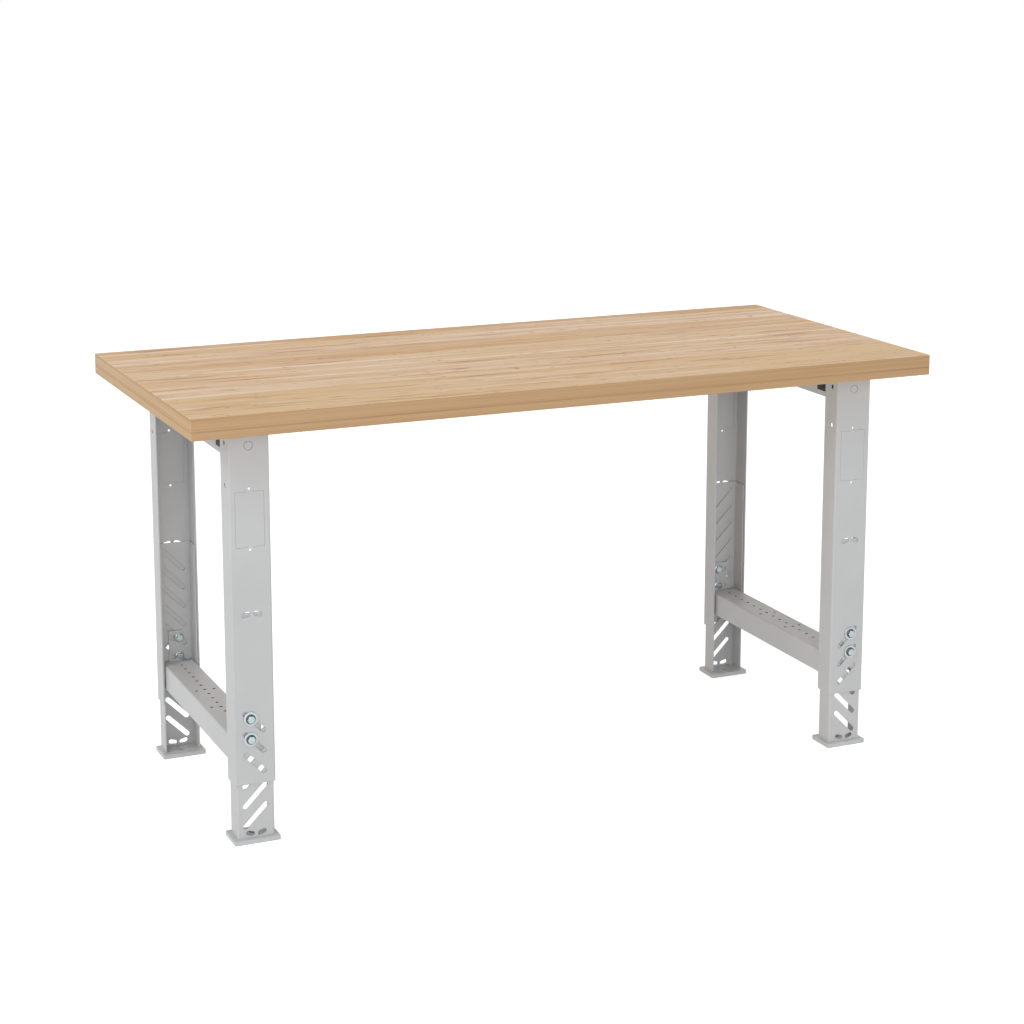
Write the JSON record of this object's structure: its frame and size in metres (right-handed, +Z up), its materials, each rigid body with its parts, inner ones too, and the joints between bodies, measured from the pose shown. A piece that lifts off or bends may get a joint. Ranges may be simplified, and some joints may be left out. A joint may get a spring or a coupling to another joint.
{
  "type": "height-adjustable workbench",
  "caption": "Workbench with a laminated wood top on two bent-steel side frames whose slotted telescoping legs are clamped at their height by bolts.",
  "frame": {"origin": "on the floor, under the middle of the top", "axes": "+X along the bench to its right end as seen from the front, +Y from its front to its rear, +Z up"},
  "size_m": [1.676, 0.762, 0.908],
  "materials": {
    "top_wood": "satin",
    "grey_paint": "satin",
    "black_plastic": "matte",
    "zinc": "satin"
  },
  "bodies": {
    "bench": {"worktop": "top_wood", "left_upper_rail": "grey_paint", "left_top_screws": "zinc", "front_left_upper_leg": "grey_paint", "front_left_window_plugs": "black_plastic", "rear_left_upper_leg": "grey_paint", "rear_left_window_plugs": "black_plastic", "right_upper_rail": "grey_paint", "right_top_screws": "zinc", "front_right_upper_leg": "grey_paint", "front_right_window_plugs": "black_plastic", "rear_right_upper_leg": "grey_paint", "rear_right_window_plugs": "black_plastic"},
    "left_stretcher_bar": {"left_stretcher": "grey_paint", "front_left_stretcher_end_plate": "grey_paint", "rear_left_stretcher_end_plate": "grey_paint"},
    "front_left_foot": {"front_left_leg_insert": "grey_paint", "front_left_foot_plate": "grey_paint"},
    "front_left_clamp": {"front_left_clamp_bolts": "zinc", "front_left_clamp_washers": "zinc", "front_left_clamp_nuts": "zinc"},
    "rear_left_foot": {"rear_left_leg_insert": "grey_paint", "rear_left_foot_plate": "grey_paint"},
    "rear_left_clamp": {"rear_left_clamp_bolts": "zinc", "rear_left_clamp_washers": "zinc", "rear_left_clamp_nuts": "zinc"},
    "right_stretcher_bar": {"right_stretcher": "grey_paint", "front_right_stretcher_end_plate": "grey_paint", "rear_right_stretcher_end_plate": "grey_paint"},
    "front_right_foot": {"front_right_leg_insert": "grey_paint", "front_right_foot_plate": "grey_paint"},
    "front_right_clamp": {"front_right_clamp_bolts": "zinc", "front_right_clamp_washers": "zinc", "front_right_clamp_nuts": "zinc"},
    "rear_right_foot": {"rear_right_leg_insert": "grey_paint", "rear_right_foot_plate": "grey_paint"},
    "rear_right_clamp": {"rear_right_clamp_bolts": "zinc", "rear_right_clamp_washers": "zinc", "rear_right_clamp_nuts": "zinc"}
  },
  "joints": [
    {"name": "left_height_slide", "type": "slide", "parent": "bench", "child": "front_left_foot", "axis": [0, 0, -1], "range_m": [0, 0.03]},
    {"name": "rear_left_foot_slide", "type": "slide", "parent": "bench", "child": "rear_left_foot", "axis": [0, 0, -1], "range_m": [0, 0.03]},
    {"name": "left_stretcher_slide", "type": "slide", "parent": "bench", "child": "left_stretcher_bar", "axis": [0, 0, -1], "range_m": [0, 0.015]},
    {"name": "front_left_clamp_slide", "type": "slide", "parent": "bench", "child": "front_left_clamp", "axis": [0.7071, 0, -0.7071], "range_m": [0, 0.0213]},
    {"name": "rear_left_clamp_slide", "type": "slide", "parent": "bench", "child": "rear_left_clamp", "axis": [-0.7071, 0, -0.7071], "range_m": [0, 0.0213]},
    {"name": "right_height_slide", "type": "slide", "parent": "bench", "child": "front_right_foot", "axis": [0, 0, -1], "range_m": [0, 0.03]},
    {"name": "rear_right_foot_slide", "type": "slide", "parent": "bench", "child": "rear_right_foot", "axis": [0, 0, -1], "range_m": [0, 0.03]},
    {"name": "right_stretcher_slide", "type": "slide", "parent": "bench", "child": "right_stretcher_bar", "axis": [0, 0, -1], "range_m": [0, 0.015]},
    {"name": "front_right_clamp_slide", "type": "slide", "parent": "bench", "child": "front_right_clamp", "axis": [-0.7071, 0, -0.7071], "range_m": [0, 0.0213]},
    {"name": "rear_right_clamp_slide", "type": "slide", "parent": "bench", "child": "rear_right_clamp", "axis": [0.7071, 0, -0.7071], "range_m": [0, 0.0213]}
  ],
  "couplings": [
    {"joint": "rear_left_foot_slide", "follows": "left_height_slide", "ratio": 1},
    {"joint": "left_stretcher_slide", "follows": "left_height_slide", "ratio": 0.5},
    {"joint": "front_left_clamp_slide", "follows": "left_height_slide", "ratio": 0.70711},
    {"joint": "rear_left_clamp_slide", "follows": "left_height_slide", "ratio": 0.70711},
    {"joint": "rear_right_foot_slide", "follows": "right_height_slide", "ratio": 1},
    {"joint": "right_stretcher_slide", "follows": "right_height_slide", "ratio": 0.5},
    {"joint": "front_right_clamp_slide", "follows": "right_height_slide", "ratio": 0.70711},
    {"joint": "rear_right_clamp_slide", "follows": "right_height_slide", "ratio": 0.70711}
  ]
}
